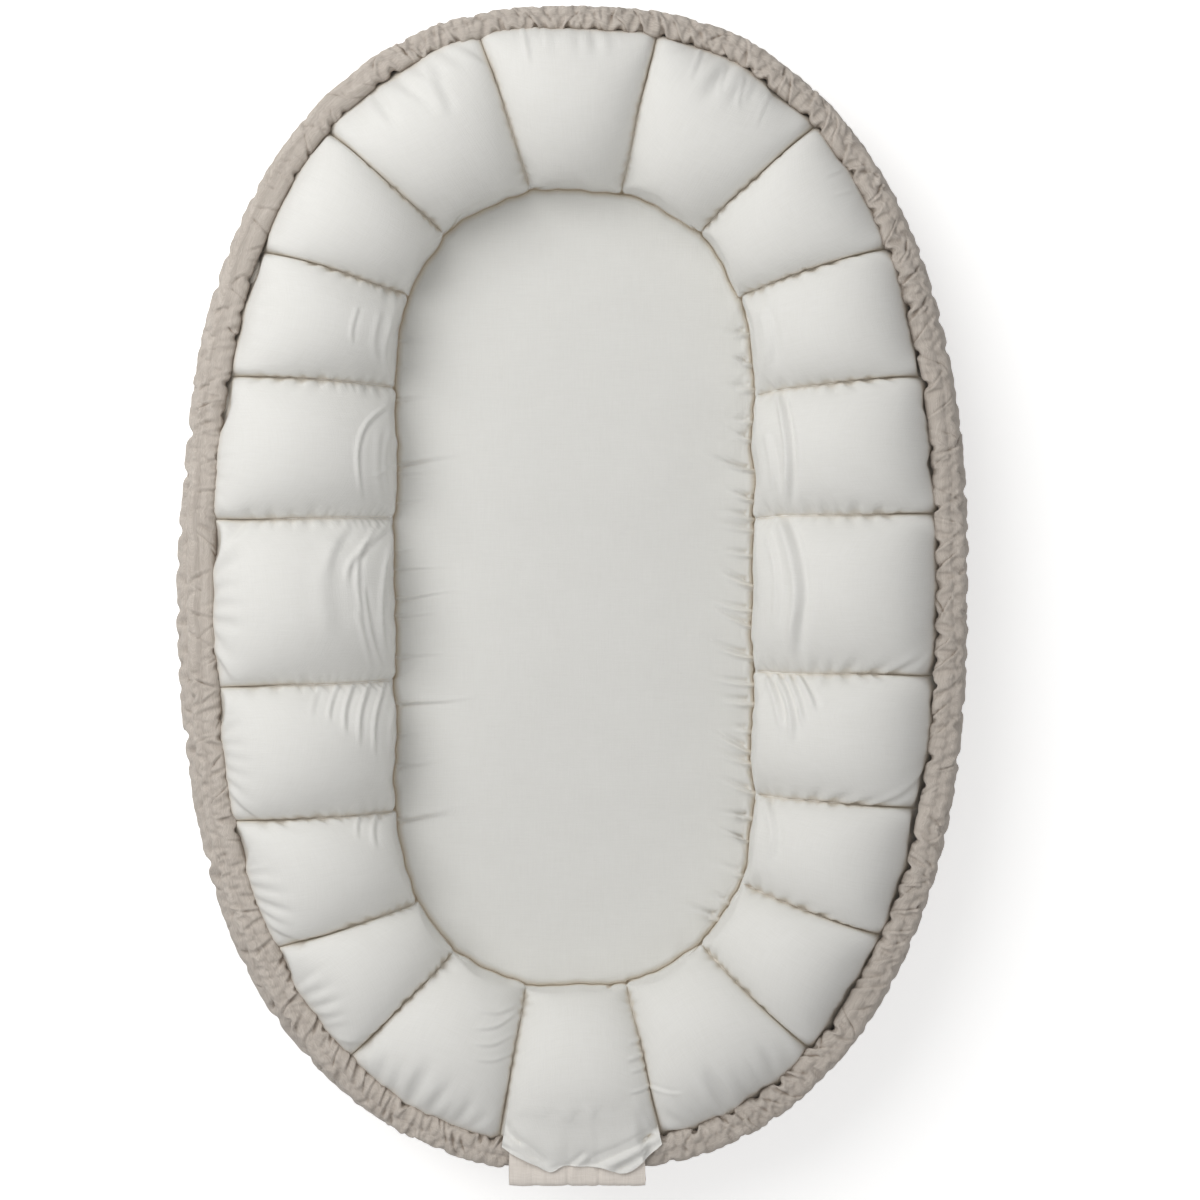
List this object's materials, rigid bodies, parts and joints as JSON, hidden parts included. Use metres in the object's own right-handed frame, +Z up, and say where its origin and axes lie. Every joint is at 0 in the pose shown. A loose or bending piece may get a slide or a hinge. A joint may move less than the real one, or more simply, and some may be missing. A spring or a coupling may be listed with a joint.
{
  "type": "infant lounger",
  "caption": "Oval padded nest for an infant: a quilted cream ring with a gathered linen rim and wall round a loose oval mattress.",
  "frame": {"origin": "on the floor under the middle of the nest, in the underside of the base panel", "axes": "+Z up, +Y along the nest towards the head end, +X across it to the right"},
  "size_m": [0.6094, 0.9142, 0.14],
  "materials": {
    "cream_cotton": "matte woven cotton",
    "beige_linen": "matte slubbed linen",
    "fibre_fill": "loose polyester fibre",
    "foam": "open-cell foam",
    "elastic": "braided flat elastic"
  },
  "bodies": {
    "nest": {"base_panel": "beige_linen", "floor_lining": "cream_cotton", "outer_wall": "beige_linen", "rim_casing": "beige_linen", "rim_elastic": "elastic", "foot_cuff": "beige_linen", "lining_foot_flap": "cream_cotton", "bumper_lining_01": "cream_cotton", "bumper_lining_02": "cream_cotton", "bumper_lining_03": "cream_cotton", "bumper_lining_04": "cream_cotton", "bumper_lining_05": "cream_cotton", "bumper_lining_06": "cream_cotton", "bumper_lining_07": "cream_cotton", "bumper_lining_08": "cream_cotton", "bumper_lining_09": "cream_cotton", "bumper_lining_10": "cream_cotton", "bumper_lining_11": "cream_cotton", "bumper_lining_12": "cream_cotton", "bumper_lining_13": "cream_cotton", "bumper_lining_14": "cream_cotton", "bumper_lining_15": "cream_cotton", "bumper_lining_16": "cream_cotton", "bumper_lining_17": "cream_cotton", "bumper_lining_18": "cream_cotton", "bumper_lining_19": "cream_cotton", "bumper_lining_20": "cream_cotton", "bumper_fill_01": "fibre_fill", "bumper_fill_02": "fibre_fill", "bumper_fill_03": "fibre_fill", "bumper_fill_04": "fibre_fill", "bumper_fill_05": "fibre_fill", "bumper_fill_06": "fibre_fill", "bumper_fill_07": "fibre_fill", "bumper_fill_08": "fibre_fill", "bumper_fill_09": "fibre_fill", "bumper_fill_10": "fibre_fill", "bumper_fill_11": "fibre_fill", "bumper_fill_12": "fibre_fill", "bumper_fill_13": "fibre_fill", "bumper_fill_14": "fibre_fill", "bumper_fill_15": "fibre_fill", "bumper_fill_16": "fibre_fill", "bumper_fill_17": "fibre_fill", "bumper_fill_18": "fibre_fill", "bumper_fill_19": "fibre_fill", "bumper_fill_20": "fibre_fill"},
    "mattress": {"mattress_cover": "cream_cotton", "mattress_core": "foam"}
  },
  "joints": [
    {"name": "mattress_lift", "type": "slide", "parent": "nest", "child": "mattress", "axis": [0, 0, 1], "range_m": [0, 0.15]}
  ]
}
